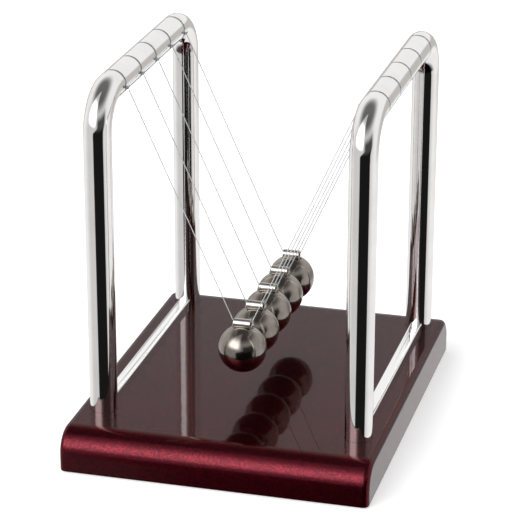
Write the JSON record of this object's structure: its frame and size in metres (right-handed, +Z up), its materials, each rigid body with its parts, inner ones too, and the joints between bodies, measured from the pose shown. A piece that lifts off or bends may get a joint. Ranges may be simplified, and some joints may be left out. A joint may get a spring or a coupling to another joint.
{
  "type": "newtons cradle",
  "caption": "Desk toy with steel balls in a row, each hung from clear line between two chromed tube arches on a lacquered base.",
  "frame": {"origin": "on the surface the toy stands on, under the middle of the base", "axes": "+Z up, +X from the left arch to the right arch, +Y to the rear along the row of balls"},
  "size_m": [0.141, 0.181, 0.1723],
  "materials": {
    "lacquer": "high-gloss burgundy lacquer with fine metallic flake over wood board",
    "chrome": "mirror chrome plate",
    "ball_steel": "satin-polished solid steel",
    "hanger_steel": "bright drawn steel tube",
    "clear_line": "clear nylon line",
    "zinc_steel": "bright zinc-plated steel",
    "foam": "black closed-cell foam"
  },
  "bodies": {
    "frame": {"base_block": "lacquer", "foot_pads": "foam", "leg_screws": "zinc_steel", "leg_washers": "zinc_steel", "bar_screws": "zinc_steel", "arch_left": "chrome", "arch_right": "chrome", "base_bar_left": "chrome", "base_bar_right": "chrome", "tie_loops_left": "clear_line", "tie_loops_right": "clear_line", "leg_plug_front_left": "zinc_steel", "leg_plug_front_right": "zinc_steel", "leg_plug_rear_left": "zinc_steel", "leg_plug_rear_right": "zinc_steel"},
    "ball_1_pendulum": {"ball_1": "ball_steel", "hanger_1": "hanger_steel", "string_1": "clear_line", "knot_1_left": "clear_line", "knot_1_right": "clear_line"},
    "ball_2_pendulum": {"ball_2": "ball_steel", "hanger_2": "hanger_steel", "string_2": "clear_line", "knot_2_left": "clear_line", "knot_2_right": "clear_line"},
    "ball_3_pendulum": {"ball_3": "ball_steel", "hanger_3": "hanger_steel", "string_3": "clear_line", "knot_3_left": "clear_line", "knot_3_right": "clear_line"},
    "ball_4_pendulum": {"ball_4": "ball_steel", "hanger_4": "hanger_steel", "string_4": "clear_line", "knot_4_left": "clear_line", "knot_4_right": "clear_line"},
    "ball_5_pendulum": {"ball_5": "ball_steel", "hanger_5": "hanger_steel", "string_5": "clear_line", "knot_5_left": "clear_line", "knot_5_right": "clear_line"}
  },
  "joints": [
    {"name": "ball_1_swing", "type": "hinge", "parent": "frame", "child": "ball_1_pendulum", "pos_m": [0, -0.0381, 0.16475], "axis": [1, 0, 0], "range_deg": [-45, 0.14]},
    {"name": "ball_2_swing", "type": "hinge", "parent": "frame", "child": "ball_2_pendulum", "pos_m": [0, -0.0158, 0.16475], "axis": [1, 0, 0], "range_deg": [-0.14, 0.14]},
    {"name": "ball_3_swing", "type": "hinge", "parent": "frame", "child": "ball_3_pendulum", "pos_m": [0, 0.0065, 0.16475], "axis": [1, 0, 0], "range_deg": [-0.14, 0.14]},
    {"name": "ball_4_swing", "type": "hinge", "parent": "frame", "child": "ball_4_pendulum", "pos_m": [0, 0.0288, 0.16475], "axis": [1, 0, 0], "range_deg": [-0.14, 0.14]},
    {"name": "ball_5_swing", "type": "hinge", "parent": "frame", "child": "ball_5_pendulum", "pos_m": [0, 0.0511, 0.16475], "axis": [1, 0, 0], "range_deg": [-0.14, 45]}
  ]
}
